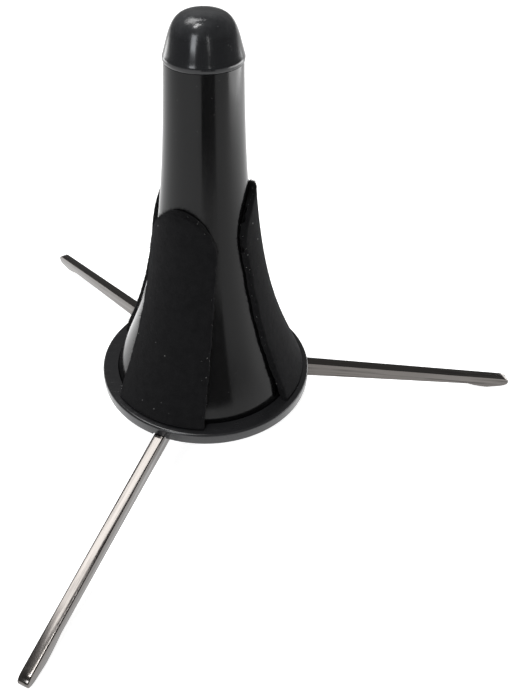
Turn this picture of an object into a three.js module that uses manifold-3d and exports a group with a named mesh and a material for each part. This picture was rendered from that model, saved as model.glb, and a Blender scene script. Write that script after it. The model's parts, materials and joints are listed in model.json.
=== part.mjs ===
// A folding clarinet stand: a flared peg that fits inside the bell, with three
// felt pads on it, on a leg base that pulls out and whose three legs fold.
// Millimetres, +Z up. Heights are measured from the floor while the parts are
// made, and the whole group is then lowered so that the origin is the centre
// of the hub plate's underside.

import * as THREE from 'three';
import { mergeVertices } from 'three/addons/utils/BufferGeometryUtils.js';
import Module from 'manifold-3d';

const wasm = await Module();
wasm.setup();

// ---- driving dimensions ----------------------------------------------------

const GAP = 0.3; // between two pieces that touch
const ROUND_STEPS = 48; // facets round the peg and the ring
const SMALL_STEPS = 16; // facets round pins, screws and holes
const FLARE_STEPS = 16; // facets up the flare
const PAD_STEPS = 10; // and up a pad
const DOME_STEPS = 14;
const DOME_CROWDING = 2.6; // how much closer together they are near the crown
const FLARE_CROWDING = 1.4; // and near the flare's foot
const MARGIN = 1; // by which a cutting tool stands out of what it cuts

const RIM_RADIUS = 34;
const RIM_TOP = 21;
const RIM_THICKNESS = 3.9;
const RIM_SHOULDER = 0.7; // rounding of the rim, above its outer face
const RIM_LIP = 0.5; // and below it
const RIM_UNDERSIDE = RIM_TOP - RIM_THICKNESS;

const FLARE_CORE = 8.95; // radius that the flare tends to, going up
const FLARE_SPREAD = 23.17; // extra radius at the rim's top
const FLARE_DECAY = 33.5; // height in which that extra falls to 1/e
const SHELL_TURN = 3.3; // how far the shell's foot turns in from that curve
const PAD_TURN_IN = 2; // and a pad's foot
const TURN_DECAY = 7;
const WALL = 1.7;
const SHELL_TOP = 120.7;

const RECESS_RADIUS = 29.5;
const RECESS_DEPTH = 1.8;
const BORE_RADIUS = 18.4;
const BOSS_RADIUS = 20.4;
const BOSS_TOP = 28.2;

const COLLAR_RADIUS = 10.5;
const COLLAR_HEIGHT = 1.3;
const BEAD_END = 55; // degrees at which the collar's rounding meets the dome
const DOME_HEIGHT = 10;
const DOME_FOOT_RADIUS = 10.2;
const DOME_TAPER = 2.9; // how much narrower its cone would be at its top
const DOME_RISE_POWER = 5; // how late the cone turns over into the crown
const DOME_REACH_POWER = 3.9; // how square that turn is
const SPIGOT_RADIUS = 8.1;
const SPIGOT_DEPTH = 8;
const SPIGOT_WALL = 1.5;

const PAD_THICKNESS = 1.9;
const PAD_SHOULDER_Z = 70;
const PAD_TURN = -5; // degrees that each pad sits round from its leg
// The pads are cut by hand, so no two are quite alike.
const PADS = [
  { footHalf: 19.4, shoulderHalf: 10.8, top: 86.5 },
  { footHalf: 16, shoulderHalf: 10.6, top: 85.5 },
  { footHalf: 15.1, shoulderHalf: 10.5, top: 84.3 },
];
const PAD_SPREAD = 1.6; // how late, going down, a pad widens
const PAD_SIDE_STEPS = 6;

const LEG_COUNT = 3;
const LEG_SLOPE = THREE.MathUtils.degToRad(11);
const LEG_WIDTH = 3.4;
const LEG_ROOT_DEPTH = 6.2;
const LEG_TIP_DEPTH = 3.7;
const LEG_TIP_RADIUS = 108.8; // from the stand's axis
const LEG_TOP_AT_RIM = 17.8;
const FOOT_DEPTH = 0.9; // how far the foot stands below the leg
const FOOT_LENGTH = 12;
const NOSE_LENGTH = 3.2;
const PIVOT_RADIUS = 14;
const NOTCH_CLEARANCE = 0.6; // each side of a leg, in the ring's bore

const HUB_RADIUS = BORE_RADIUS - 0.4;
const HUB_TOP = 26.6;
const HUB_CHAMFER = 0.6;
const HUB_FLANGE_RADIUS = 20.5;
const HUB_FLANGE_TOP = RIM_UNDERSIDE - GAP;
const HUB_UNDERSIDE = 14;
const SLOT_HALF_WIDTH = 2.9;
const SLOT_ROOT_CLEARANCE = 0.4;
const GROOVE_Z = 24.5;
const GRIP_TUBE = 0.75;
const GRIP_RADIUS = HUB_RADIUS - 0.7;

const PIN_RADIUS = 1.25;
const PIN_LENGTH = 20;
const PIN_CHAMFER = 0.3;
const WASHER_RADIUS = 2.8;
const WASHER_THICKNESS = 0.5;

const PLATE_RADIUS = 9.6;
const PLATE_THICKNESS = 1.6;
const PLATE_CHAMFER = 0.4;
const PLATE_TOP = HUB_UNDERSIDE - GAP;
const PLATE_UNDERSIDE = PLATE_TOP - PLATE_THICKNESS;
const SCREW_CIRCLE = 5.6;
const SCREW_RADIUS = 1.25;
const SCREW_HEAD_RADIUS = 2.2;
const SCREW_HEAD_HEIGHT = 1.3;
const SCREW_LENGTH = 9;
const SCREW_POINT = 1;
const CROSS_LENGTH = 2.4;
const CROSS_WIDTH = 0.5;
const CROSS_DEPTH = 0.8;

// ---- dimensions that follow ------------------------------------------------

const turn = (index) => (index * 2 * Math.PI) / LEG_COUNT;
const pivotZ =
  LEG_TOP_AT_RIM +
  (RIM_RADIUS - PIVOT_RADIUS) * Math.tan(LEG_SLOPE) -
  LEG_ROOT_DEPTH / 2 / Math.cos(LEG_SLOPE);
const legLength = (LEG_TIP_RADIUS - PIVOT_RADIUS) / Math.cos(LEG_SLOPE);
const holeRadius = (radius) => radius + GAP;

// ---- materials -------------------------------------------------------------

const material = (color, roughness, metalness) =>
  new THREE.MeshStandardMaterial({ color, roughness, metalness });

const glossPlastic = () => material(0x0b0b0c, 0.12, 0);
const satinPlastic = () => material(0x232325, 0.42, 0);
const felt = () => material(0x0a0a0a, 1, 0);
const blackNickel = () => material(0x4a4642, 0.2, 1);
const steel = () => material(0xa8a8a6, 0.3, 1);
const rubber = () => material(0x151515, 0.8, 0);
const nylon = () => material(0xdeddd6, 0.5, 0);

// ---- helpers ---------------------------------------------------------------

function solid(geometry) {
  const bare = geometry.clone();
  bare.deleteAttribute('normal');
  bare.deleteAttribute('uv');
  const merged = mergeVertices(bare, 1e-4);
  const mesh = new wasm.Mesh({
    numProp: 3,
    vertProperties: Float32Array.from(merged.attributes.position.array),
    triVerts: Uint32Array.from(merged.index.array),
  });
  return new wasm.Manifold(mesh);
}

function geometryOf(manifold) {
  const mesh = manifold.getMesh();
  const geometry = new THREE.BufferGeometry();
  geometry.setAttribute('position', new THREE.BufferAttribute(mesh.vertProperties, 3));
  geometry.setIndex(new THREE.BufferAttribute(mesh.triVerts, 1));
  geometry.computeVertexNormals();
  return geometry;
}

// A lathe about Z: the points are [radius, height] pairs, counter-clockwise.
function lathe(points, steps = ROUND_STEPS) {
  const profile = points.map(([radius, height]) => new THREE.Vector2(radius, height));
  const geometry = new THREE.LatheGeometry(profile, steps);
  return geometry.rotateX(Math.PI / 2);
}

function ring(points, steps) {
  return lathe([...points, points[0]], steps);
}

// A prism of a shape drawn in X and Z, centred on Y = 0.
function plate(shape, thickness, curveSegments = 10) {
  const settings = { depth: thickness, bevelEnabled: false, curveSegments };
  const geometry = new THREE.ExtrudeGeometry(shape, settings);
  return geometry.translate(0, 0, -thickness / 2).rotateX(Math.PI / 2);
}

function rod(radius, length, steps = SMALL_STEPS) {
  return new THREE.CylinderGeometry(radius, radius, length, steps);
}

// Points along an arc in the plane of a lathe's profile, its angles in degrees.
function arc(centreR, centreZ, radius, from, to, steps = 5) {
  return Array.from({ length: steps + 1 }, (_, i) => {
    const angle = THREE.MathUtils.degToRad(from + ((to - from) * i) / steps);
    return [centreR + radius * Math.cos(angle), centreZ + radius * Math.sin(angle)];
  });
}

function part(name, geometry, look) {
  const mesh = new THREE.Mesh(geometry, look);
  mesh.name = name;
  return mesh;
}

// ---- the peg ---------------------------------------------------------------

// The flare's radius at a height, less what its foot turns in.
const flareRadius = (z, turnIn) =>
  FLARE_CORE +
  FLARE_SPREAD * Math.exp(-(z - RIM_TOP) / FLARE_DECAY) -
  turnIn * Math.exp(-(z - RIM_TOP) / TURN_DECAY);
const flareSlope = (z, turnIn) => flareRadius(z - 0.5, turnIn) - flareRadius(z + 0.5, turnIn);

// The flare moved out by a distance, from one height to another.
function flareLine(offset, turnIn, from, to, steps = FLARE_STEPS) {
  return Array.from({ length: steps + 1 }, (_, i) => {
    const z = from + (to - from) * (i / steps) ** FLARE_CROWDING;
    return [flareRadius(z, turnIn) + offset * Math.hypot(1, flareSlope(z, turnIn)), z];
  });
}

function pegShell() {
  const foot = RIM_TOP - RECESS_DEPTH + GAP;
  const outside = flareLine(0, SHELL_TURN, foot, SHELL_TOP);
  const inside = flareLine(-WALL, SHELL_TURN, foot, SHELL_TOP).reverse();
  return ring([...outside, ...inside]);
}

function topCap() {
  const collarBottom = SHELL_TOP + GAP;
  const collarTop = collarBottom + COLLAR_HEIGHT;
  const spigotBottom = SHELL_TOP - SPIGOT_DEPTH;
  const bead = COLLAR_HEIGHT / 2;
  const dome = Array.from({ length: DOME_STEPS + 1 }, (_, i) => {
    const rise = 1 - (1 - i / DOME_STEPS) ** DOME_CROWDING;
    const crown = (1 - rise ** DOME_RISE_POWER) ** (1 / DOME_REACH_POWER);
    return [(DOME_FOOT_RADIUS - DOME_TAPER * rise) * crown, collarTop + DOME_HEIGHT * rise];
  });
  return lathe([
    [0, SHELL_TOP],
    [SPIGOT_RADIUS - SPIGOT_WALL, SHELL_TOP],
    [SPIGOT_RADIUS - SPIGOT_WALL, spigotBottom],
    [SPIGOT_RADIUS, spigotBottom],
    [SPIGOT_RADIUS, collarBottom],
    ...arc(COLLAR_RADIUS - bead, collarBottom + bead, bead, -90, BEAD_END, 7),
    ...dome,
  ]);
}

function legNotch() {
  const length = RIM_RADIUS;
  const notch = new THREE.BoxGeometry(length, LEG_WIDTH + 2 * NOTCH_CLEARANCE, LEG_ROOT_DEPTH);
  notch.translate(length / 2, 0, GAP);
  notch.rotateY(LEG_SLOPE);
  return notch.translate(PIVOT_RADIUS, 0, pivotZ);
}

function baseRing() {
  const recess = RIM_TOP - RECESS_DEPTH;
  let body = solid(
    ring([
      [BORE_RADIUS, RIM_UNDERSIDE],
      ...arc(RIM_RADIUS - RIM_LIP, RIM_UNDERSIDE + RIM_LIP, RIM_LIP, -90, 0, 3),
      ...arc(RIM_RADIUS - RIM_SHOULDER, RIM_TOP - RIM_SHOULDER, RIM_SHOULDER, 0, 90),
      [RECESS_RADIUS, RIM_TOP],
      [RECESS_RADIUS, recess],
      [BOSS_RADIUS, recess],
      [BOSS_RADIUS, BOSS_TOP],
      [BORE_RADIUS, BOSS_TOP],
    ]),
  );
  for (let i = 0; i < LEG_COUNT; i += 1) {
    body = body.subtract(solid(legNotch().rotateZ(turn(i))));
  }
  return geometryOf(body);
}

function feltPad({ footHalf, shoulderHalf, top }) {
  const foot = RIM_TOP + GAP;
  const skin = [
    ...flareLine(GAP + PAD_THICKNESS, PAD_TURN_IN, foot, top + MARGIN, PAD_STEPS),
    ...flareLine(GAP, PAD_TURN_IN, foot, top + MARGIN, PAD_STEPS).reverse(),
  ];
  const low = foot - GAP;
  const side = Array.from({ length: PAD_SIDE_STEPS + 1 }, (_, i) => {
    const rise = i / PAD_SIDE_STEPS;
    const halfWidth = shoulderHalf + (footHalf - shoulderHalf) * (1 - rise) ** PAD_SPREAD;
    return [halfWidth, low + (PAD_SHOULDER_Z - low) * rise];
  });
  const outline = new THREE.Shape();
  outline.moveTo(-footHalf, low);
  side.forEach(([halfWidth, z]) => outline.lineTo(halfWidth, z));
  outline.absellipse(0, PAD_SHOULDER_Z, shoulderHalf, top - PAD_SHOULDER_Z, 0, Math.PI);
  side.reverse().forEach(([halfWidth, z]) => outline.lineTo(-halfWidth, z));
  const cutter = plate(outline, 2 * RIM_RADIUS, 16).translate(0, -RIM_RADIUS, 0);
  cutter.rotateZ(Math.PI / 2);
  return geometryOf(solid(ring(skin)).intersect(solid(cutter)));
}

// ---- the leg base ----------------------------------------------------------

// The slot for one leg, from its rounded root out through the rim of the hub.
function legSlot() {
  const low = HUB_UNDERSIDE - MARGIN;
  const root = PIVOT_RADIUS - LEG_ROOT_DEPTH / 2 - SLOT_ROOT_CLEARANCE;
  const roof = pivotZ + LEG_ROOT_DEPTH / 2 + SLOT_ROOT_CLEARANCE;
  const width = HUB_FLANGE_RADIUS + MARGIN - root;
  const slot = new THREE.BoxGeometry(width, 2 * SLOT_HALF_WIDTH, roof - low);
  return slot.translate(root + width / 2, 0, (roof + low) / 2);
}

const pinHole = () =>
  rod(holeRadius(PIN_RADIUS), 4 * HUB_RADIUS).translate(PIVOT_RADIUS, 0, pivotZ);

const screwAt = (geometry, index) =>
  geometry.translate(SCREW_CIRCLE, 0, 0).rotateZ(turn(index + 0.5));

function legHub() {
  const groove = GRIP_TUBE + GAP;
  const grooveFloor = GRIP_RADIUS - GRIP_TUBE - GAP;
  let body = solid(
    lathe([
      [0, HUB_UNDERSIDE],
      [HUB_FLANGE_RADIUS, HUB_UNDERSIDE],
      [HUB_FLANGE_RADIUS, HUB_FLANGE_TOP],
      [HUB_RADIUS, HUB_FLANGE_TOP],
      [HUB_RADIUS, GROOVE_Z - groove],
      [grooveFloor, GROOVE_Z - groove],
      [grooveFloor, GROOVE_Z + groove],
      [HUB_RADIUS, GROOVE_Z + groove],
      [HUB_RADIUS, HUB_TOP - HUB_CHAMFER],
      [HUB_RADIUS - HUB_CHAMFER, HUB_TOP],
      [0, HUB_TOP],
    ]),
  );
  for (let i = 0; i < LEG_COUNT; i += 1) {
    body = body.subtract(solid(legSlot().rotateZ(turn(i))));
    body = body.subtract(solid(pinHole().rotateZ(turn(i))));
    const hole = rod(holeRadius(SCREW_RADIUS), 2 * SCREW_LENGTH).rotateX(Math.PI / 2);
    hole.translate(0, 0, PLATE_UNDERSIDE);
    body = body.subtract(solid(screwAt(hole, i)));
  }
  return geometryOf(body);
}

function hubPlate() {
  let body = solid(
    lathe([
      [0, PLATE_UNDERSIDE],
      [PLATE_RADIUS - PLATE_CHAMFER, PLATE_UNDERSIDE],
      [PLATE_RADIUS, PLATE_UNDERSIDE + PLATE_CHAMFER],
      [PLATE_RADIUS, PLATE_TOP],
      [0, PLATE_TOP],
    ]),
  );
  const head = holeRadius(SCREW_HEAD_RADIUS);
  const shank = holeRadius(SCREW_RADIUS);
  for (let i = 0; i < LEG_COUNT; i += 1) {
    const sink = lathe(
      [
        [0, PLATE_UNDERSIDE - MARGIN],
        [head, PLATE_UNDERSIDE - MARGIN],
        [head, PLATE_UNDERSIDE],
        [shank, PLATE_UNDERSIDE + SCREW_HEAD_HEIGHT],
        [shank, PLATE_TOP + MARGIN],
        [0, PLATE_TOP + MARGIN],
      ],
      SMALL_STEPS,
    );
    body = body.subtract(solid(screwAt(sink, i)));
  }
  return geometryOf(body);
}

// A countersunk screw with a cross recess, its head flush with the plate.
function hubScrew(index) {
  const screw = lathe(
    [
      [0, PLATE_UNDERSIDE],
      [SCREW_HEAD_RADIUS, PLATE_UNDERSIDE],
      [SCREW_RADIUS, PLATE_UNDERSIDE + SCREW_HEAD_HEIGHT],
      [SCREW_RADIUS, PLATE_UNDERSIDE + SCREW_LENGTH - SCREW_POINT],
      [0, PLATE_UNDERSIDE + SCREW_LENGTH],
    ],
    SMALL_STEPS,
  );
  const slot = new THREE.BoxGeometry(CROSS_LENGTH, CROSS_WIDTH, 2 * CROSS_DEPTH);
  slot.translate(0, 0, PLATE_UNDERSIDE);
  const across = slot.clone().rotateZ(Math.PI / 2);
  const body = solid(screw).subtract(solid(slot)).subtract(solid(across));
  return screwAt(geometryOf(body), index);
}

function gripRing() {
  const ringShape = new THREE.TorusGeometry(GRIP_RADIUS, GRIP_TUBE, 8, ROUND_STEPS);
  return ringShape.translate(0, 0, GROOVE_Z);
}

// A leg drawn along +X from its pivot at the origin, top edge straight, with a
// foot under its far end and a rounded nose.
function legOutline() {
  const root = LEG_ROOT_DEPTH / 2;
  const tipBottom = root - LEG_TIP_DEPTH;
  const footEnd = legLength - NOSE_LENGTH;
  const footStart = footEnd - FOOT_LENGTH;
  const footLow = tipBottom - FOOT_DEPTH;
  const outline = new THREE.Shape();
  outline.moveTo(footEnd, root);
  outline.lineTo(0, root);
  outline.absarc(0, 0, root, Math.PI / 2, (3 * Math.PI) / 2, false);
  outline.lineTo(footStart, tipBottom);
  // The foot's flat and the curve of its toe both start level with the floor.
  const bend = FOOT_LENGTH / 3;
  outline.quadraticCurveTo(footStart + bend, footLow, footStart + 2 * bend, footLow);
  outline.lineTo(footEnd, footLow + Math.tan(LEG_SLOPE) * bend);
  const nose = root - LEG_TIP_DEPTH / 2;
  const rise = Math.tan(LEG_SLOPE) * (bend + NOSE_LENGTH);
  outline.quadraticCurveTo(legLength, footLow + rise, legLength, nose);
  outline.quadraticCurveTo(legLength, root, footEnd, root);
  return outline;
}

function leg(index) {
  const hole = solid(rod(holeRadius(PIN_RADIUS), 3 * LEG_WIDTH));
  const blade = solid(plate(legOutline(), LEG_WIDTH)).subtract(hole);
  const geometry = geometryOf(blade).rotateY(LEG_SLOPE);
  return geometry.translate(PIVOT_RADIUS, 0, pivotZ).rotateZ(turn(index));
}

function legPin(index) {
  const half = PIN_LENGTH / 2;
  const pin = lathe(
    [
      [0, -half],
      [PIN_RADIUS - PIN_CHAMFER, -half],
      [PIN_RADIUS, -half + PIN_CHAMFER],
      [PIN_RADIUS, half - PIN_CHAMFER],
      [PIN_RADIUS - PIN_CHAMFER, half],
      [0, half],
    ],
    SMALL_STEPS,
  );
  return pin.rotateX(Math.PI / 2).translate(PIVOT_RADIUS, 0, pivotZ).rotateZ(turn(index));
}

function legWasher(index, side) {
  const inner = LEG_WIDTH / 2 + GAP;
  const washer = ring(
    [
      [holeRadius(PIN_RADIUS), inner],
      [WASHER_RADIUS, inner],
      [WASHER_RADIUS, inner + WASHER_THICKNESS],
      [holeRadius(PIN_RADIUS), inner + WASHER_THICKNESS],
    ],
    SMALL_STEPS,
  );
  washer.rotateX((side * Math.PI) / 2);
  return washer.translate(PIVOT_RADIUS, 0, pivotZ).rotateZ(turn(index));
}

// ---- the assembly ----------------------------------------------------------

const stand = new THREE.Group();
stand.name = 'clarinet_stand';

const peg = new THREE.Group();
peg.add(part('peg_shell', pegShell(), glossPlastic()));
peg.add(part('top_cap', topCap(), glossPlastic()));
peg.add(part('base_ring', baseRing(), satinPlastic()));

const base = new THREE.Group();
base.add(part('leg_hub', legHub(), satinPlastic()));
base.add(part('grip_ring', gripRing(), rubber()));
base.add(part('hub_plate', hubPlate(), blackNickel()));

for (let i = 0; i < LEG_COUNT; i += 1) {
  const pad = part(`felt_pad_${i + 1}`, feltPad(PADS[i]), felt());
  pad.rotation.z = turn(i) + THREE.MathUtils.degToRad(PAD_TURN);
  peg.add(pad);
  base.add(part(`leg_${i + 1}`, leg(i), blackNickel()));
  base.add(part(`leg_pin_${i + 1}`, legPin(i), steel()));
  base.add(part(`leg_washer_${i + 1}a`, legWasher(i, 1), nylon()));
  base.add(part(`leg_washer_${i + 1}b`, legWasher(i, -1), nylon()));
  base.add(part(`hub_screw_${i + 1}`, hubScrew(i), steel()));
}

stand.add(peg, base);
stand.position.z = -PLATE_UNDERSIDE;

export default stand;
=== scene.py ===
import json
import math
import random

import bmesh
import bpy
from mathutils import Matrix, Vector

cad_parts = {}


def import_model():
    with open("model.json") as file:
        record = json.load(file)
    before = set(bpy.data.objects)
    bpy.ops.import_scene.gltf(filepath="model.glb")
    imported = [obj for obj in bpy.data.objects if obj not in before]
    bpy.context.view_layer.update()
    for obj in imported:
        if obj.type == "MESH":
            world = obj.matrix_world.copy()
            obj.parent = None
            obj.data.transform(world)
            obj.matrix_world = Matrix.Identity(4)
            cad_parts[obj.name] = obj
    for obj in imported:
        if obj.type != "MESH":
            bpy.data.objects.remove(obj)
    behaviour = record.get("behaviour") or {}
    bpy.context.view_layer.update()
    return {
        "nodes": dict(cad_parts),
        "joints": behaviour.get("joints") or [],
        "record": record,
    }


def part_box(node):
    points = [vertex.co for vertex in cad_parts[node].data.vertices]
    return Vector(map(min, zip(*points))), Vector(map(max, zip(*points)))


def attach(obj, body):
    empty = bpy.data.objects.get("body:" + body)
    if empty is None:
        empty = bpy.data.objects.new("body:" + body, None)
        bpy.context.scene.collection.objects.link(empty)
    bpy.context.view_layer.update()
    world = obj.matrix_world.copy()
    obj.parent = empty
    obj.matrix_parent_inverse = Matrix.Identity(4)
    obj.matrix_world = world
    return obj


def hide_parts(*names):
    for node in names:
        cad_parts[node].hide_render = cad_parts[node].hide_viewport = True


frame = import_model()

MM = 0.001

# ---- dimensions, in millimetres, in the frame of the CAD model --------------

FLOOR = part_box("leg_1")[0].z / MM

SEAT = next(m for m in frame["record"]["mounts"] if m["name"] == "bell_seat")
RIM_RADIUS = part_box("base_ring")[1].x / MM
RIM_TOP = SEAT["pos_m"][2] / MM
RIM_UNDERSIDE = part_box("base_ring")[0].z / MM
RIM_SHOULDER = 0.7
RIM_LIP = 0.5
FLARE_CORE = 8.95
FLARE_SPREAD = 23.17
FLARE_DECAY = 33.5
FLARE_CROWDING = 1.3  # brings the flare's steps closer together towards its foot
SHELL_TURN = 3.3  # how far the shell's foot turns in from the flare's curve
PAD_TURN_IN = 2  # and a pad's foot
TURN_DECAY = 7
WALL = 1.7
RECESS_RADIUS = 28.95
RECESS_DEPTH = 1.8
BORE_RADIUS = 18.4
BOSS_RADIUS = 20.4
BOSS_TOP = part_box("base_ring")[1].z / MM
SHELL_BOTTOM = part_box("peg_shell")[0].z / MM
SHELL_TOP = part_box("peg_shell")[1].z / MM

CAP_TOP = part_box("top_cap")[1].z / MM
CAP_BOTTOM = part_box("top_cap")[0].z / MM
COLLAR_RADIUS = 10.36
COLLAR_HEIGHT = 1.3
DOME_FOOT_RADIUS = 10.2
DOME_TAPER = 2.9
DOME_RISE_POWER = 5
DOME_REACH_POWER = 3.9
DOME_STEPS = 64
DOME_CROWDING = 2.6  # brings the dome's steps closer together towards its top
SPIGOT_RADIUS = 8.1
SPIGOT_WALL = 1.5
SEAM = 0.02  # the fine line left between two moulded pieces
CAP_GAP = 0.3  # the gap under the collar in the CAD model, which the collar fills here
COLLAR_ROUND = 0.3  # height of the collar's rounded shoulders
SPIGOT_CHAMFER = 0.4
TUBE_ROUND = 0.05
RIM_CHAMFER = 0.15
BOSS_CHAMFER = 0.3
BORE_CHAMFER = 0.5

PAD_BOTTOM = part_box("felt_pad_1")[0].z / MM
PAD_SHOULDER_Z = FLOOR + 70
PAD_THICKNESS = 2.1
PAD_SPREAD = 1.6
PAD_EDGE = 0.5  # rounding of the felt's cut edge
PAD_GLUE = 0.08
PAD_COLUMNS = 72
PAD_ROWS = 150
SLOW_WAVE = (0.09, 0.7)  # size of the cut edge's waver, and its turn in each millimetre
QUICK_WAVE = (0.06, 2.3)
PAD_TURN = math.radians(-5)
PAD_HALVES = {1: (19.4, 10.8), 2: (16, 10.6), 3: (15.1, 10.5)}  # at the foot and the shoulder

LEG_SLOPE = math.radians(11)
LEG_WIDTH = 3.4
LEG_ROOT_DEPTH = 6.2
LEG_TIP_DEPTH = 3.7
LEG_TIP_RADIUS = 108.8
FOOT_DEPTH = 0.9
FOOT_LENGTH = 12
NOSE_LENGTH = 3.2
PIN_HOLE = 1.4
NOTCH_CLEARANCE = (0.6, 0.3)  # beside a leg and above it
LEG_EDGE = 0.4
PIVOTS = {j["child"]: Vector(j["pos_m"]) / MM for j in frame["joints"] if j["type"] == "hinge"}
PIVOT_RADIUS = PIVOTS["leg_1"].x
LEG_LENGTH = (LEG_TIP_RADIUS - PIVOT_RADIUS) / math.cos(LEG_SLOPE)

LEGS = (1, 2, 3)


def turn(index):
    return (index - 1) * 2 * math.pi / len(LEGS)


# ---- mesh helpers -----------------------------------------------------------


def make_object(name, points, faces):
    mesh = bpy.data.meshes.new(name)
    mesh.from_pydata([Vector(p) * MM for p in points], [], faces)
    mesh.validate()
    mesh.update()
    obj = bpy.data.objects.new(name, mesh)
    bpy.context.scene.collection.objects.link(obj)
    return obj


def smooth(obj, degrees=38):
    obj.data.shade_smooth()
    obj.data.set_sharp_from_angle(angle=math.radians(degrees))


def lathe(name, profile, segments=192, closed=False):
    """Turns [radius, height] pairs about Z. A radius of 0 makes a single point."""
    points, rows = [], []
    for radius, z in profile:
        if radius < 1e-6:
            rows.append([len(points)] * segments)
            points.append((0, 0, z))
            continue
        rows.append(list(range(len(points), len(points) + segments)))
        for k in range(segments):
            a = 2 * math.pi * k / segments
            points.append((radius * math.cos(a), radius * math.sin(a), z))
    faces = []
    pairs = list(zip(rows, rows[1:]))
    if closed:
        pairs.append((rows[-1], rows[0]))
    for low, high in pairs:
        for k in range(segments):
            n = (k + 1) % segments
            corners = [low[k], low[n], high[n], high[k]]
            face = [c for i, c in enumerate(corners) if c not in corners[:i]]
            if len(face) > 2:
                faces.append(face)
    return make_object(name, points, faces)


def arc(centre_r, centre_z, radius, start, end, steps=8):
    """Points of a round from one angle to another, in degrees."""
    angles = [math.radians(start + (end - start) * i / steps) for i in range(steps + 1)]
    return [(centre_r + radius * math.cos(a), centre_z + radius * math.sin(a)) for a in angles]


def prism(name, outline, half_width):
    """A closed prism of an outline in X and Z, either side of Y = 0."""
    count = len(outline)
    points = [(x, side * half_width, z) for side in (-1, 1) for x, z in outline]
    faces = [list(range(count)), list(range(2 * count - 1, count - 1, -1))]
    for k in range(count):
        n = (k + 1) % count
        faces.append([k, k + count, n + count, n])
    return make_object(name, points, faces)


def rod(name, radius, length, segments=48):
    """A round bar along Y, centred on the origin."""
    circle = [2 * math.pi * k / segments for k in range(segments)]
    outline = [(radius * math.cos(a), radius * math.sin(a)) for a in circle]
    return prism(name, outline, length / 2)


def place(obj, matrix):
    obj.data.transform(matrix)
    return obj


def moved(x, y, z):
    return Matrix.Translation(Vector((x, y, z)) * MM)


def outward(obj):
    """Faces point out, whatever way the outline ran."""
    work = bmesh.new()
    work.from_mesh(obj.data)
    bmesh.ops.recalc_face_normals(work, faces=work.faces)
    work.to_mesh(obj.data)
    work.free()
    return obj


def cut(obj, cutters):
    """Takes the cutters out of obj and removes them."""
    for cutter in cutters:
        outward(cutter)
        modifier = obj.modifiers.new("cut", "BOOLEAN")
        modifier.operation = "DIFFERENCE"
        modifier.solver = "EXACT"
        modifier.object = cutter
    apply_modifiers(obj)
    for cutter in cutters:
        bpy.data.objects.remove(cutter)
    return obj


def apply_modifiers(obj):
    graph = bpy.context.evaluated_depsgraph_get()
    mesh = bpy.data.meshes.new_from_object(obj.evaluated_get(graph))
    obj.modifiers.clear()
    obj.data = mesh


def bevel(obj, width, segments=3, degrees=35):
    modifier = obj.modifiers.new("edge", "BEVEL")
    modifier.width = width * MM
    modifier.segments = segments
    modifier.limit_method = "ANGLE"
    modifier.angle_limit = math.radians(degrees)
    modifier.use_clamp_overlap = True
    modifier.harden_normals = False
    apply_modifiers(obj)


def piece(obj, body, slot, material, *nodes):
    obj.data.materials.clear()
    obj.data.materials.append(material)
    if nodes:
        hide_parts(*nodes)
    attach(obj, body)
    return obj


# ---- materials --------------------------------------------------------------


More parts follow.
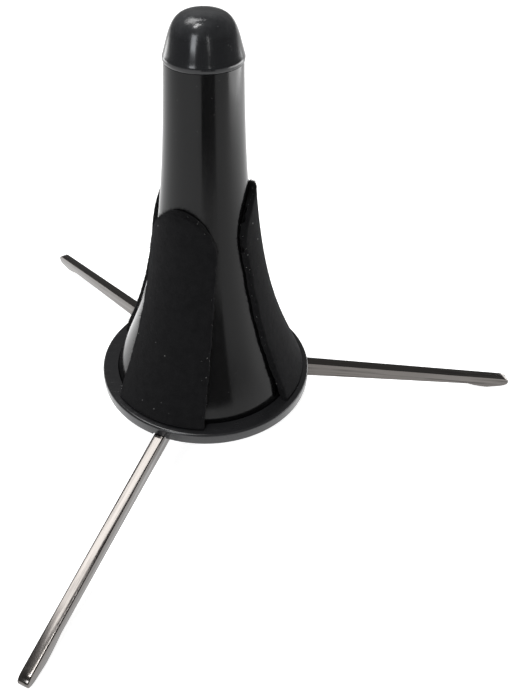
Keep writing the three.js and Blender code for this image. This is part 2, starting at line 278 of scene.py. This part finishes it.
class Shader:
    """A node material being built round one Principled shader."""

    def __init__(self, name, **sockets):
        self.material = bpy.data.materials.new(name)
        self.material.use_nodes = True
        self.tree = self.material.node_tree
        self.main = self.tree.nodes["Principled BSDF"]
        for key, value in sockets.items():
            self.main.inputs[key.replace("_", " ")].default_value = value
        self.where = self.add("ShaderNodeTexCoord").outputs["Object"]

    def add(self, kind, **settings):
        node = self.tree.nodes.new(kind)
        for key, value in settings.items():
            setattr(node, key, value)
        return node

    def link(self, source, target):
        self.tree.links.new(source, target)

    def stretched(self, scale, turned=(0, 0, 0)):
        """The object's own coordinates, scaled along axes that are turned by these angles."""
        mapping = self.add("ShaderNodeMapping", vector_type="TEXTURE")
        mapping.inputs["Rotation"].default_value = turned
        mapping.inputs["Scale"].default_value = tuple(1 / s for s in scale)
        self.link(self.where, mapping.inputs["Vector"])
        return mapping.outputs["Vector"]

    def noise(self, scale, detail=4.0, roughness=0.5, vector=None):
        node = self.add("ShaderNodeTexNoise")
        node.inputs["Scale"].default_value = scale
        node.inputs["Detail"].default_value = detail
        node.inputs["Roughness"].default_value = roughness
        self.link(vector or self.where, node.inputs["Vector"])
        return node.outputs["Fac"]

    def specks(self, scale, size, vector=None):
        """Small dots, 1 inside each and 0 outside."""
        node = self.add("ShaderNodeTexVoronoi")
        node.inputs["Scale"].default_value = scale
        self.link(vector or self.where, node.inputs["Vector"])
        return self.ramp(node.outputs["Distance"], size * 0.5, size, 1.0, 0.0)

    def ramp(self, source, low, high, at_low, at_high):
        node = self.add("ShaderNodeMapRange")
        node.inputs["From Min"].default_value = low
        node.inputs["From Max"].default_value = high
        node.inputs["To Min"].default_value = at_low
        node.inputs["To Max"].default_value = at_high
        self.link(source, node.inputs["Value"])
        return node.outputs["Result"]

    def times(self, a, b):
        node = self.add("ShaderNodeMath", operation="MULTIPLY")
        self.link(a, node.inputs[0])
        self.link(b, node.inputs[1])
        return node.outputs["Value"]

    def mix(self, factor, first, second):
        node = self.add("ShaderNodeMix", data_type="RGBA")
        self.link(factor, node.inputs["Factor"])
        for socket, value in (("A", first), ("B", second)):
            target = next(i for i in node.inputs if i.name == socket and i.type == "RGBA")
            if isinstance(value, tuple):
                target.default_value = value
            else:
                self.link(value, target)
        return next(o for o in node.outputs if o.type == "RGBA")

    def bump(self, height, distance, strength=1.0, after=None):
        node = self.add("ShaderNodeBump")
        node.inputs["Distance"].default_value = distance * MM
        node.inputs["Strength"].default_value = strength
        self.link(height, node.inputs["Height"])
        if after:
            self.link(after, node.inputs["Normal"])
        return node.outputs["Normal"]

    def color(self, source):
        self.link(source, self.main.inputs["Base Color"])

    def roughness(self, source):
        self.link(source, self.main.inputs["Roughness"])

    def normal(self, source):
        self.link(source, self.main.inputs["Normal"])


def gloss_plastic():
    """Polished black plastic: faint moulding ripple, handling haze and fine dust."""
    s = Shader("gloss_black_plastic", Metallic=0.0, IOR=1.46)
    s.main.inputs["Specular IOR Level"].default_value = 0.235
    haze = s.noise(60, 5.0, 0.55)
    streaks = s.noise(1.0, 6.0, 0.6, s.stretched((900, 900, 60)))
    s.roughness(s.ramp(s.times(haze, streaks), 0.12, 0.45, 0.085, 0.2))
    dust = s.specks(420, 0.07)
    patchy = s.ramp(s.noise(35, 2.0), 0.48, 0.6, 0.0, 0.5)
    s.color(s.mix(s.times(dust, patchy), (0.002, 0.002, 0.0022, 1), (0.1, 0.1, 0.1, 1)))
    s.normal(s.bump(s.noise(160, 2.0), 0.02, 0.25))
    return s.material


def cap_plastic():
    """Black plastic whose crown is painted a lighter grey, partly handling dust and partly a painted
    hazy reflection, and marked by the moulding gate.
    """
    s = Shader("handled_black_plastic_painted_sheen", Metallic=0.0, IOR=1.46)
    s.main.inputs["Specular IOR Level"].default_value = 0.42
    split = s.add("ShaderNodeSeparateXYZ")
    s.link(s.where, split.inputs["Vector"])
    crown = s.ramp(split.outputs["Z"], (CAP_TOP - 4.5) * MM, CAP_TOP * MM, 0.0, 1.0)
    cloud = s.noise(150, 6.0, 0.65)
    # Painted reflection mixed with handling dust: the crown is greyed by height, lightest at the top.
    tone_shift = s.times(crown, s.ramp(cloud, 0.35, 0.6, 0.25, 1.0))
    clean = s.mix(s.noise(50, 3.0), (0.0065, 0.0068, 0.0075, 1), (0.011, 0.0113, 0.0125, 1))
    grey = s.mix(tone_shift, clean, (0.04, 0.041, 0.043, 1))
    dust = s.times(s.specks(900, 0.09), s.ramp(s.noise(120, 2.0), 0.5, 0.62, 0.0, 0.7))
    s.color(s.mix(dust, grey, (0.3, 0.3, 0.3, 1)))
    s.roughness(s.ramp(cloud, 0.3, 0.7, 0.12, 0.24))
    gate = s.bump(s.times(crown, s.noise(420, 4.0, 0.6)), 0.22, 0.8)
    s.normal(s.bump(s.noise(260, 3.0), 0.02, 0.3, gate))
    return s.material


def satin_plastic():
    """Satin black plastic with a fine even texture and faint scuffs."""
    s = Shader("satin_black_plastic", Metallic=0.0, IOR=1.46)
    s.main.inputs["Specular IOR Level"].default_value = 0.5
    scuffs = s.noise(1.0, 7.0, 0.7, s.stretched((220, 700, 220)))
    s.roughness(s.ramp(scuffs, 0.35, 0.7, 0.15, 0.3))
    s.color(s.mix(s.noise(70, 4.0), (0.010, 0.010, 0.011, 1), (0.018, 0.018, 0.019, 1)))
    s.normal(s.bump(s.noise(2600, 3.0), 0.008, 0.35))
    return s.material


def black_felt():
    """Pressed wool felt: matted fibres, a soft nap, clumps and a little lint."""
    s = Shader("black_felt", Metallic=0.0, Roughness=1.0)
    s.main.inputs["Specular IOR Level"].default_value = 0.1
    s.main.inputs["Sheen Weight"].default_value = 0.06
    s.main.inputs["Sheen Roughness"].default_value = 0.5
    s.main.inputs["Sheen Tint"].default_value = (0.5, 0.5, 0.52, 1)
    fibres = s.noise(1.0, 6.0, 0.75, s.stretched((1900, 900, 2600)))
    clumps = s.noise(420, 4.0, 0.6)
    base = s.mix(clumps, (0.002, 0.002, 0.0023, 1), (0.0085, 0.0085, 0.009, 1))
    lint = s.times(s.specks(330, 0.10), s.ramp(s.noise(90, 2.0), 0.56, 0.66, 0.0, 0.6))
    s.color(s.mix(lint, base, (0.35, 0.35, 0.34, 1)))
    coarse = s.bump(clumps, 0.25, 0.8)
    s.normal(s.bump(fibres, 0.12, 0.9, coarse))
    return s.material


def pale_lint():
    """Dust fibres caught in the felt."""
    s = Shader("pale_lint", Metallic=0.0, Roughness=0.9)
    s.main.inputs["Specular IOR Level"].default_value = 0.1
    s.color(s.mix(s.noise(900, 2.0), (0.2, 0.2, 0.2, 1), (0.6, 0.6, 0.58, 1)))
    return s.material


def black_nickel(bearing=0.0, slope=0.0):
    """Polished black nickel over steel, worn in fine lines along the piece."""
    s = Shader("black_nickel", Metallic=1.0)
    lines = s.noise(1.0, 6.0, 0.7, s.stretched((25, 1500, 1500), (0, slope, bearing)))
    cloud = s.noise(60, 4.0)
    clean = s.mix(cloud, (0.1, 0.093, 0.088, 1), (0.145, 0.135, 0.127, 1))
    tone_shift = s.times(s.ramp(lines, 0.5, 0.6, 0.0, 1.0), s.ramp(cloud, 0.4, 0.6, 0.2, 1.0))
    s.color(s.mix(tone_shift, clean, (0.06, 0.055, 0.052, 1)))
    s.roughness(s.ramp(s.times(lines, cloud), 0.1, 0.45, 0.07, 0.2))
    s.normal(s.bump(lines, 0.008, 0.3))
    return s.material


def bright_steel():
    s = Shader("zinc_plated_steel", Metallic=1.0)
    cloud = s.noise(400, 5.0, 0.6)
    s.color(s.mix(cloud, (0.5, 0.5, 0.49, 1), (0.66, 0.66, 0.64, 1)))
    s.roughness(s.ramp(cloud, 0.3, 0.7, 0.2, 0.38))
    s.normal(s.bump(s.noise(1800, 3.0), 0.01, 0.4))
    return s.material


def black_rubber():
    s = Shader("black_rubber", Metallic=0.0)
    s.main.inputs["Specular IOR Level"].default_value = 0.3
    cloud = s.noise(300, 5.0)
    s.color(s.mix(cloud, (0.012, 0.012, 0.012, 1), (0.025, 0.025, 0.025, 1)))
    s.roughness(s.ramp(cloud, 0.3, 0.7, 0.55, 0.75))
    s.normal(s.bump(s.noise(2200, 3.0), 0.02, 0.5))
    return s.material


def natural_nylon():
    s = Shader("natural_nylon", Metallic=0.0)
    s.main.inputs["Subsurface Weight"].default_value = 0.1
    s.main.inputs["Subsurface Scale"].default_value = 0.0005
    cloud = s.noise(500, 4.0)
    s.color(s.mix(cloud, (0.62, 0.61, 0.56, 1), (0.72, 0.71, 0.66, 1)))
    s.roughness(s.ramp(cloud, 0.3, 0.7, 0.4, 0.55))
    s.normal(s.bump(s.noise(2400, 3.0), 0.01, 0.4))
    return s.material


GLOSS = gloss_plastic()
CAP = cap_plastic()
SATIN = satin_plastic()
FELT = black_felt()
LINT = pale_lint()
NICKEL = black_nickel()
STEEL = bright_steel()
RUBBER = black_rubber()
NYLON = natural_nylon()

# ---- the peg ----------------------------------------------------------------


def flare_radius(z, turn_in=SHELL_TURN):
    t = z - RIM_TOP
    return (
        FLARE_CORE
        + FLARE_SPREAD * math.exp(-t / FLARE_DECAY)
        - turn_in * math.exp(-t / TURN_DECAY)
    )


def flare_slope(z, turn_in=SHELL_TURN):
    return flare_radius(z - 0.5, turn_in) - flare_radius(z + 0.5, turn_in)


def flare_offset(z, offset, turn_in=SHELL_TURN):
    """Radius of the flare moved out by a thickness square to its surface."""
    return flare_radius(z, turn_in) + offset * math.hypot(1, flare_slope(z, turn_in))


def flare_line(offset, low, high, steps=90):
    shares = [(i / steps) ** FLARE_CROWDING for i in range(steps + 1)]
    heights = [low + (high - low) * share for share in shares]
    return [(flare_offset(z, offset), z) for z in heights]


def peg_shell():
    outside = flare_line(0, SHELL_BOTTOM, SHELL_TOP - TUBE_ROUND)
    inside = flare_line(-WALL, SHELL_BOTTOM, SHELL_TOP)
    top = [(flare_radius(SHELL_TOP) - TUBE_ROUND, SHELL_TOP)]
    shell = outward(lathe("peg_shell_moulding", outside + top + inside[::-1], 256, closed=True))
    smooth(shell)
    return piece(shell, "peg", "gloss_black", GLOSS, "peg_shell")


def top_cap():
    collar_bottom = SHELL_TOP + SEAM
    collar_top = SHELL_TOP + CAP_GAP + COLLAR_HEIGHT
    middle = collar_top - COLLAR_HEIGHT / 2
    dome_height = CAP_TOP - collar_top
    dome = []
    for i in range(1, DOME_STEPS + 1):
        rise = 1 - (1 - i / DOME_STEPS) ** DOME_CROWDING
        crown = max(0, 1 - rise**DOME_RISE_POWER) ** (1 / DOME_REACH_POWER)
        radius = (DOME_FOOT_RADIUS - DOME_TAPER * rise) * crown
        dome.append((radius, collar_top + dome_height * rise))
    neck = flare_radius(SHELL_TOP)
    collar = [(neck - 0.05, collar_bottom), (neck + 0.04, collar_bottom + 0.06)]
    collar += [(COLLAR_RADIUS - 0.04, collar_bottom + COLLAR_ROUND), (COLLAR_RADIUS, middle)]
    collar += [(COLLAR_RADIUS - 0.04, collar_top - COLLAR_ROUND)]
    collar += [(DOME_FOOT_RADIUS + 0.03, collar_top - 0.05)]
    inner = SPIGOT_RADIUS - SPIGOT_WALL
    spigot = [(0, SHELL_TOP), (inner, SHELL_TOP), (inner, CAP_BOTTOM)]
    spigot += [(SPIGOT_RADIUS - SPIGOT_CHAMFER / 2, CAP_BOTTOM)]
    spigot += [(SPIGOT_RADIUS, CAP_BOTTOM + SPIGOT_CHAMFER), (SPIGOT_RADIUS, collar_bottom)]
    cap = outward(lathe("bullet_cap", spigot + collar + dome, 256))
    smooth(cap)
    return piece(cap, "peg", "gloss_black", CAP, "top_cap")


def leg_notch(index):
    """A cutter for the slot that the leg's root turns in."""
    beside, above = NOTCH_CLEARANCE
    half = LEG_WIDTH / 2 + beside
    high = LEG_ROOT_DEPTH / 2 + above
    outline = [(0, -high), (RIM_RADIUS, -high), (RIM_RADIUS, high), (0, high)]
    notch = prism("notch", outline, half)
    return place(notch, leg_matrix(index))


def leg_matrix(index):
    """From a leg drawn along +X from its pivot, to its place in the frame."""
    pivot = PIVOTS["leg_1"]
    return (
        Matrix.Rotation(turn(index), 4, "Z")
        @ moved(pivot.x, pivot.y, pivot.z)
        @ Matrix.Rotation(LEG_SLOPE, 4, "Y")
    )


def base_ring():
    recess = RIM_TOP - RECESS_DEPTH
    profile = [(BORE_RADIUS, RIM_UNDERSIDE + BOSS_CHAMFER)]
    profile += [(BORE_RADIUS + BOSS_CHAMFER, RIM_UNDERSIDE)]
    profile += arc(RIM_RADIUS - RIM_LIP, RIM_UNDERSIDE + RIM_LIP, RIM_LIP, -90, 0)
    profile += arc(RIM_RADIUS - RIM_SHOULDER, RIM_TOP - RIM_SHOULDER, RIM_SHOULDER, 0, 90, 14)
    profile += [(RECESS_RADIUS + RIM_CHAMFER, RIM_TOP), (RECESS_RADIUS, RIM_TOP - RIM_CHAMFER)]
    profile += [(RECESS_RADIUS, recess), (BOSS_RADIUS, recess)]
    profile += [(BOSS_RADIUS, BOSS_TOP - BOSS_CHAMFER), (BOSS_RADIUS - BOSS_CHAMFER, BOSS_TOP)]
    profile += [(BORE_RADIUS + BORE_CHAMFER, BOSS_TOP), (BORE_RADIUS, BOSS_TOP - BORE_CHAMFER)]
    ring = outward(lathe("rim_moulding", profile, 256, closed=True))
    cut(ring, [leg_notch(i) for i in LEGS])
    smooth(ring)
    return piece(ring, "peg", "satin_black", SATIN, "base_ring")


# ---- felt -------------------------------------------------------------------


class Pad:
    """One felt pad: s runs across it and z up it, with its foot on the rim."""

    def __init__(self, index):
        self.foot, self.shoulder = PAD_HALVES[index]
        self.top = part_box(f"felt_pad_{index}")[1].z / MM
        self.centre = turn(index) + PAD_TURN

    def half_width(self, z):
        """Half the felt's width, up to its shoulders."""
        share = min(1, max(0, (z - PAD_BOTTOM) / (PAD_SHOULDER_Z - PAD_BOTTOM)))
        slow = SLOW_WAVE[0] * math.sin(SLOW_WAVE[1] * z + self.foot)
        wave = slow + QUICK_WAVE[0] * math.sin(QUICK_WAVE[1] * z)
        return wave + self.shoulder + (self.foot - self.shoulder) * (1 - share) ** PAD_SPREAD

    def grid(self, u, v):
        """The point at u from -1 to 1 across and v from 0 to 1 up the felt."""
        top = PAD_SHOULDER_Z + (self.top - PAD_SHOULDER_Z) * math.sqrt(max(0, 1 - u * u))
        z = PAD_BOTTOM + (top - PAD_BOTTOM) * v
        return u * self.half_width(z), z

    def edge_distance(self, s, z):
        """Distance from a point of the felt to its cut edge, roughly."""
        if z > PAD_SHOULDER_Z:
            rise = (z - PAD_SHOULDER_Z) / (self.top - PAD_SHOULDER_Z)
            side = (1 - math.hypot(s / self.shoulder, rise)) * self.shoulder
        else:
            side = self.half_width(z) - abs(s)
        return max(0, min(side, z - PAD_BOTTOM))

    def height(self, s, z):
        """The felt's thickness at a point, rounded off at its cut edge."""
        share = 1 - min(1, self.edge_distance(s, z) / PAD_EDGE)
        return (PAD_THICKNESS - 0.1) * math.sqrt(max(0, 1 - share * share))

    def place(self, s, z, offset):
        middle = flare_offset(z, PAD_THICKNESS / 2, PAD_TURN_IN)
        angle = self.centre + math.asin(max(-1, min(1, s / middle)))
        radius = flare_offset(z, offset, PAD_TURN_IN)
        return Vector((radius * math.cos(angle), radius * math.sin(angle), z))

    def outwards(self, s, z):
        """The direction square out of the felt at a point."""
        angle = self.centre + math.asin(s / flare_offset(z, PAD_THICKNESS, PAD_TURN_IN))
        slope = flare_slope(z, PAD_TURN_IN)
        return Vector((math.cos(angle), math.sin(angle), slope)).normalized()


def felt_pad(index):
    pad_shape = Pad(index)
    columns, rows = PAD_COLUMNS, PAD_ROWS
    points, faces = [], []
    for layer in (0, 1):
        for j in range(rows + 1):
            v = (1 - math.cos(math.pi * j / rows)) / 2
            for i in range(columns + 1):
                u = math.sin(math.pi / 2 * (2 * i / columns - 1))
                s, z = pad_shape.grid(u, v)
                offset = PAD_GLUE + (pad_shape.height(s, z) if layer else 0)
                points.append(pad_shape.place(s, z, offset))
    size = (rows + 1) * (columns + 1)
    for j in range(rows):
        for i in range(columns):
            a = j * (columns + 1) + i
            b, c, d = a + 1, a + columns + 2, a + columns + 1
            faces.append([a, d, c, b])
            faces.append([a + size, b + size, c + size, d + size])
    pad = make_object(f"felt_{index}", points, faces)
    weld = pad.modifiers.new("weld", "WELD")
    weld.merge_threshold = 0.004 * MM
    apply_modifiers(pad)
    outward(pad)
    smooth(pad, 80)
    piece(pad, "peg", "felt", FELT, f"felt_pad_{index}")
    nap = loose_fibres(f"felt_nap_{index}", pad_shape, 5200, index, 1.3, 0.034)
    piece(nap, "peg", "felt", FELT)
    lint = loose_fibres(f"felt_lint_{index}", pad_shape, 190, 10 + index, 0.4, 0.06)
    piece(lint, "peg", "felt", LINT)


def loose_fibres(name, pad, count, seed, longest, thickest):
    """Fine curved fibres that stand out of the felt, most of them along its cut edge."""
    rng = random.Random(seed)
    points, faces = [], []
    for _ in range(count):
        u, v = rng.uniform(-1, 1), rng.uniform(0.02, 1)
        along = rng.random()
        if along < 0.55:
            u = math.copysign(1 - abs(rng.gauss(0, 0.04)), u)
            v = rng.uniform(0.05, 0.98)
        elif along < 0.85:
            v = 1 - abs(rng.gauss(0, 0.012))
        s, z = pad.grid(max(-0.995, min(0.995, u)), v)
        out = pad.outwards(s, z)
        side = Vector([rng.gauss(0, 1) for _ in range(3)])
        side = (side - out * side.dot(out) * 0.6).normalized()
        root = pad.place(s, z, 0.1 + pad.height(s, z) * rng.uniform(0.5, 1))
        length = longest * rng.uniform(0.25, 1)
        lean = out * rng.uniform(0.1, 0.8) + side
        spine = [root + lean * length * t + side.cross(out) * length * 0.5 * t * t for t in (0, 0.5, 1)]
        thick = thickest * rng.uniform(0.5, 1)
        first = len(points)
        ahead = (spine[1] - spine[0]).normalized()
        across = ahead.orthogonal().normalized()
        other = ahead.cross(across)
        for share, middle in zip((1, 0.7), spine):
            for k in range(3):
                a = 2 * math.pi * k / 3
                ring_point = across * math.cos(a) + other * math.sin(a)
                points.append(middle + ring_point * thick * share)
        points.append(spine[2])
        faces.append([first + 2, first + 1, first])
        for k in range(3):
            n = (k + 1) % 3
            faces.append([first + k, first + n, first + 3 + n, first + 3 + k])
            faces.append([first + 3 + k, first + 3 + n, first + 6])
    return make_object(name, points, faces)


# ---- the legs ---------------------------------------------------------------


def curve(start, bend, end, steps=8):
    """Points of a bend after its start, drawn by one control point."""
    out = []
    for i in range(1, steps + 1):
        t = i / steps
        x, z = (
            (1 - t) ** 2 * start[k] + 2 * t * (1 - t) * bend[k] + t * t * end[k] for k in (0, 1)
        )
        out.append((x, z))
    return out


def leg_outline():
    root = LEG_ROOT_DEPTH / 2
    tip_bottom = root - LEG_TIP_DEPTH
    foot_end = LEG_LENGTH - NOSE_LENGTH
    foot_start = foot_end - FOOT_LENGTH
    foot_low = tip_bottom - FOOT_DEPTH
    bend = FOOT_LENGTH / 3
    heel = (foot_start, tip_bottom)
    flat = (foot_start + 2 * bend, foot_low)
    toe = (foot_end, foot_low + math.tan(LEG_SLOPE) * bend)
    nose = (LEG_LENGTH, root - LEG_TIP_DEPTH / 2)
    outline = arc(0, 0, root, 90, 270, 24)
    outline += [heel] + curve(heel, (foot_start + bend, foot_low), flat)
    rise = math.tan(LEG_SLOPE) * (bend + NOSE_LENGTH)
    outline += [toe] + curve(toe, (LEG_LENGTH, foot_low + rise), nose)
    outline += curve(nose, (LEG_LENGTH, root), (foot_end, root))
    return outline


def leg(index):
    blade = outward(prism(f"leg_blade_{index}", leg_outline(), LEG_WIDTH / 2))
    cut(blade, [rod("hole", PIN_HOLE, 4 * LEG_WIDTH)])
    bevel(blade, LEG_EDGE, 4)
    smooth(blade, 50)
    nickel = black_nickel(turn(index), LEG_SLOPE)
    piece(blade, f"leg_{index}", "black_nickel", nickel, f"leg_{index}")
    return place(blade, leg_matrix(index))


# ---- assembly ---------------------------------------------------------------

peg_shell()
top_cap()
base_ring()
for number in LEGS:
    felt_pad(number)
    leg(number)

CARRIED_EDGE = 0.08
CARRIED = {"leg_hub": SATIN, "grip_ring": RUBBER, "hub_plate": NICKEL}
for number in LEGS:
    CARRIED[f"leg_pin_{number}"] = STEEL
    CARRIED[f"hub_screw_{number}"] = STEEL
    CARRIED[f"leg_washer_{number}a"] = NYLON
    CARRIED[f"leg_washer_{number}b"] = NYLON
for node, look in CARRIED.items():
    carried = frame["nodes"][node]
    for material_slot in carried.material_slots:
        material_slot.material = look
    edge = carried.modifiers.new("edge", "BEVEL")
    edge.width = CARRIED_EDGE * MM
    edge.segments = 2
    edge.limit_method = "ANGLE"
    edge.angle_limit = math.radians(40)

# ---- floor, light and camera ------------------------------------------------


def ground(name, corners, material):
    """A flat staged sheet that isn't part of the object."""
    plane = make_object(name, corners, [list(range(len(corners)))])
    plane.data.materials.append(material)
    return plane


def floor():
    """A white sheet, and a dark upright card of painted shade that the plastic mirrors and no view
    shows.
    """
    half = 2500
    corners = [(-half, -half), (half, -half), (half, half), (-half, half)]
    s = Shader("pale_floor", Metallic=0.0, Roughness=0.9)
    s.main.inputs["Specular IOR Level"].default_value = 0.0
    s.main.inputs["Emission Color"].default_value = (1, 1, 1, 1)
    s.main.inputs["Emission Strength"].default_value = 0.8
    s.color(s.mix(s.noise(4, 2.0), (0.88, 0.88, 0.88, 1), (0.9, 0.9, 0.9, 1)))
    ground("floor", [(x, y, FLOOR) for x, y in corners], s.material)
    # The dark card is painted shade: a sheet standing where the camera's side lies in shadow, so the
    # plastic mirrors a dark patch there.
    distance, height = 278, 190
    left, right = (math.radians(a) for a in (258, 295))
    ends = [(distance * math.cos(a), distance * math.sin(a)) for a in (left, right)]
    (x0, y0), (x1, y1) = ends
    card = [(x0, y0, FLOOR), (x1, y1, FLOOR), (x1, y1, FLOOR + height), (x0, y0, FLOOR + height)]
    s = Shader("dark_card", Metallic=0.0, Roughness=0.9)
    s.main.inputs["Specular IOR Level"].default_value = 0.0
    s.color(s.mix(s.noise(4, 2.0), (0.16, 0.16, 0.16, 1), (0.2, 0.2, 0.2, 1)))
    ground("dark_card", card, s.material).visible_camera = False


def soft_light(name, azimuth, elevation, distance, size, radiance, color=(1, 1, 1)):
    """A rectangular light facing the object, placed round it by its bearing in degrees."""
    data = bpy.data.lights.new(name, "AREA")
    data.shape = "RECTANGLE"
    data.size, data.size_y = size[0] * MM, size[1] * MM
    data.energy = 4 * radiance * data.size * data.size_y
    data.color = color
    lamp = bpy.data.objects.new(name, data)
    bpy.context.scene.collection.objects.link(lamp)
    a, e = math.radians(azimuth), math.radians(elevation)
    away = Vector((math.cos(a) * math.cos(e), math.sin(a) * math.cos(e), math.sin(e)))
    target = Vector((0, 0, 40 + FLOOR))
    lamp.location = (target + away * distance) * MM
    lamp.rotation_euler = (-away).to_track_quat("-Z", "Y").to_euler()
    return lamp


def world(strength):
    shade = bpy.data.worlds.new("studio")
    shade.use_nodes = True
    background = shade.node_tree.nodes["Background"]
    background.inputs["Color"].default_value = (1, 1, 1, 1)
    background.inputs["Strength"].default_value = strength
    bpy.context.scene.world = shade


def camera():
    azimuth = math.radians(265.0)  # where the camera stands round the axis
    distance, height = 184.1, 187.5  # from the axis, and above the floor
    yaw, pitch, roll = (math.radians(a) for a in (0.73, 40.38, 0.08))
    inward = Vector((-math.cos(azimuth), -math.sin(azimuth), 0))
    inward.rotate(Matrix.Rotation(-yaw, 3, "Z"))
    look = inward * math.cos(pitch) + Vector((0, 0, -math.sin(pitch)))
    right = inward.cross(Vector((0, 0, 1)))
    up = right.cross(look)
    across = right * math.cos(roll) + up * math.sin(roll)
    upright = up * math.cos(roll) - right * math.sin(roll)
    data = bpy.data.cameras.new("camera")
    data.sensor_width = 36
    data.lens = 38.2731
    data.shift_x = 0.071
    data.shift_y = -0.019
    data.clip_start = 0.005
    data.clip_end = 20
    cam = bpy.data.objects.new("camera", data)
    bpy.context.scene.collection.objects.link(cam)
    cam.matrix_world = Matrix((across, upright, -look)).transposed().to_4x4()
    x, y = distance * math.cos(azimuth), distance * math.sin(azimuth)
    cam.location = Vector((x, y, FLOOR + height)) * MM
    bpy.context.scene.camera = cam


floor()
camera()
world(0.2)
soft_light("right_bank", 6, 0, 330, (380, 90), 4.6)
soft_light("left_bank", 138, -1, 520, (270, 90), 3.6)
soft_light("overhead_back", 135, 67, 620, (360, 200), 6.0)
soft_light("overhead_front", 214, 72, 620, (55, 230), 24.0)
soft_light("window_left", 233, 30, 620, (150, 210), 8.0, (0.93, 0.96, 1.0))
soft_light("window_slim", 281, 30, 620, (16, 190), 10.0)
bpy.context.scene.view_settings.view_transform = "Standard"
